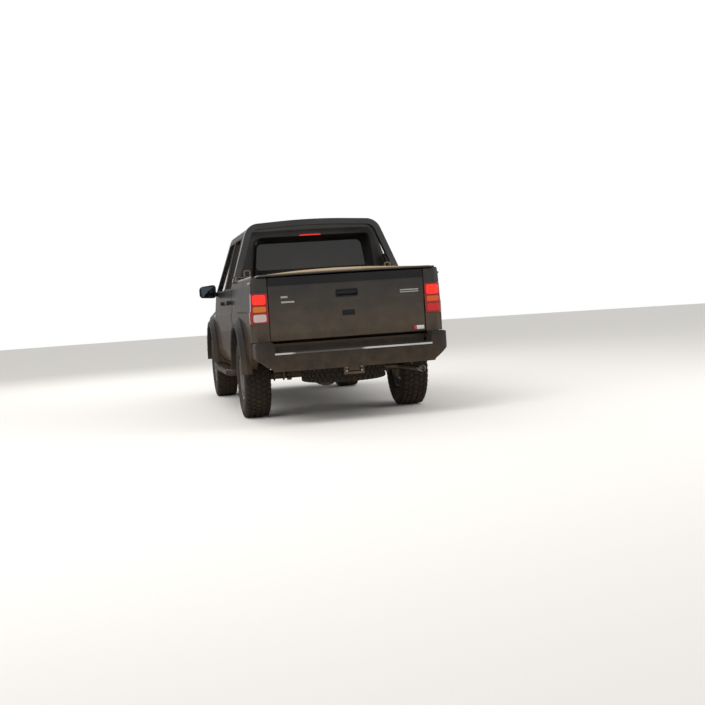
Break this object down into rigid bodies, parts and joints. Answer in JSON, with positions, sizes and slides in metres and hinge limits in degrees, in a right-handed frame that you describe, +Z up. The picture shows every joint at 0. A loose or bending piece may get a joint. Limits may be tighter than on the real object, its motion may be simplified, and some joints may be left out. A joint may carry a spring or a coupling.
{
  "type": "pickup truck",
  "caption": "Double-cab pickup truck on a ladder frame, with opening doors, hood and tailgate, steered front wheels, a styling bar, step bars and a soft cover over the load bed.",
  "frame": {"origin": "on the ground, below the middle of the truck's bounding box", "axes": "+X forward along the truck, +Y to its left, +Z up"},
  "size_m": [5.119, 2.0746, 1.8868],
  "materials": {
    "body_paint": "gloss metallic",
    "window_glass": "clear",
    "chassis_metal": "satin",
    "engine_metal": "cast",
    "exhaust_steel": "dull",
    "knuckle_iron": "cast",
    "trim_plastic": "grained",
    "seat_cloth": "woven",
    "bumper_plastic": "grained",
    "front_lens": "clear lens",
    "rear_lens": "coloured lens",
    "bright_aluminium": "satin",
    "bar_paint": "satin",
    "cover_vinyl": "soft vinyl",
    "tyre_rubber": "matt",
    "wheel_alloy": "satin"
  },
  "bodies": {
    "truck": {"cab_shell": "body_paint", "front_wings": "body_paint", "bed": "body_paint", "cab_glass": "window_glass", "frame": "chassis_metal", "driveline": "chassis_metal", "rear_axle": "chassis_metal", "suspension": "chassis_metal", "fuel_tank": "chassis_metal", "engine_block": "engine_metal", "exhaust": "exhaust_steel", "dashboard": "trim_plastic", "steering_wheel": "trim_plastic", "arch_flares": "trim_plastic", "grille": "trim_plastic", "seats": "seat_cloth", "front_bumper": "bumper_plastic", "rear_bumper": "bumper_plastic", "front_lamps": "front_lens", "tail_lamps": "rear_lens", "alloy_trim": "bright_aluminium", "sports_bar": "bar_paint", "side_steps": "bar_paint", "tonneau_cover": "cover_vinyl", "spare_tyre": "tyre_rubber", "spare_rim": "wheel_alloy"},
    "door_front_left": {"door_front_left": "body_paint", "glass_front_left": "window_glass", "mirror_left": "trim_plastic"},
    "door_front_right": {"door_front_right": "body_paint", "glass_front_right": "window_glass", "mirror_right": "trim_plastic"},
    "door_rear_left": {"door_rear_left": "body_paint", "glass_rear_left": "window_glass"},
    "door_rear_right": {"door_rear_right": "body_paint", "glass_rear_right": "window_glass"},
    "hood": {"hood": "body_paint"},
    "tailgate": {"tailgate": "body_paint", "tailgate_handle": "bumper_plastic"},
    "knuckle_left": {"knuckle_left": "knuckle_iron"},
    "knuckle_right": {"knuckle_right": "knuckle_iron"},
    "wheel_front_left": {"tyre_front_left": "tyre_rubber", "rim_front_left": "wheel_alloy"},
    "wheel_front_right": {"tyre_front_right": "tyre_rubber", "rim_front_right": "wheel_alloy"},
    "wheel_rear_left": {"tyre_rear_left": "tyre_rubber", "rim_rear_left": "wheel_alloy"},
    "wheel_rear_right": {"tyre_rear_right": "tyre_rubber", "rim_rear_right": "wheel_alloy"}
  },
  "joints": [
    {"name": "front_left_door_hinge", "type": "hinge", "parent": "truck", "child": "door_front_left", "pos_m": [1.077, 0.868, 1], "axis": [0, 0, -1], "range_deg": [0, 65]},
    {"name": "rear_left_door_hinge", "type": "hinge", "parent": "truck", "child": "door_rear_left", "pos_m": [0.0345, 0.868, 1], "axis": [0, 0, -1], "range_deg": [0, 65]},
    {"name": "front_right_door_hinge", "type": "hinge", "parent": "truck", "child": "door_front_right", "pos_m": [1.077, -0.868, 1], "axis": [0, 0, 1], "range_deg": [0, 65]},
    {"name": "rear_right_door_hinge", "type": "hinge", "parent": "truck", "child": "door_rear_right", "pos_m": [0.0345, -0.868, 1], "axis": [0, 0, 1], "range_deg": [0, 65]},
    {"name": "hood_hinge", "type": "hinge", "parent": "truck", "child": "hood", "pos_m": [1.306, 0, 1.152], "axis": [0, -1, 0], "range_deg": [0, 55]},
    {"name": "tailgate_hinge", "type": "hinge", "parent": "truck", "child": "tailgate", "pos_m": [-2.346, 0, 0.748], "axis": [0, -1, 0], "range_deg": [0, 90]},
    {"name": "steer_left", "type": "hinge", "parent": "truck", "child": "knuckle_left", "pos_m": [1.68, 0.655, 0.385], "axis": [0, 0, 1], "range_deg": [-32, 32]},
    {"name": "front_left_wheel_spin", "type": "hinge", "parent": "knuckle_left", "child": "wheel_front_left", "pos_m": [1.68, 0.75, 0.385], "axis": [0, 1, 0], "continuous": true},
    {"name": "rear_left_wheel_spin", "type": "hinge", "parent": "truck", "child": "wheel_rear_left", "pos_m": [-1.36, 0.75, 0.385], "axis": [0, 1, 0], "continuous": true},
    {"name": "steer_right", "type": "hinge", "parent": "truck", "child": "knuckle_right", "pos_m": [1.68, -0.655, 0.385], "axis": [0, 0, 1], "range_deg": [-32, 32]},
    {"name": "front_right_wheel_spin", "type": "hinge", "parent": "knuckle_right", "child": "wheel_front_right", "pos_m": [1.68, -0.75, 0.385], "axis": [0, 1, 0], "continuous": true},
    {"name": "rear_right_wheel_spin", "type": "hinge", "parent": "truck", "child": "wheel_rear_right", "pos_m": [-1.36, -0.75, 0.385], "axis": [0, 1, 0], "continuous": true}
  ],
  "couplings": [
    {"joint": "steer_right", "follows": "steer_left", "ratio": 1}
  ]
}
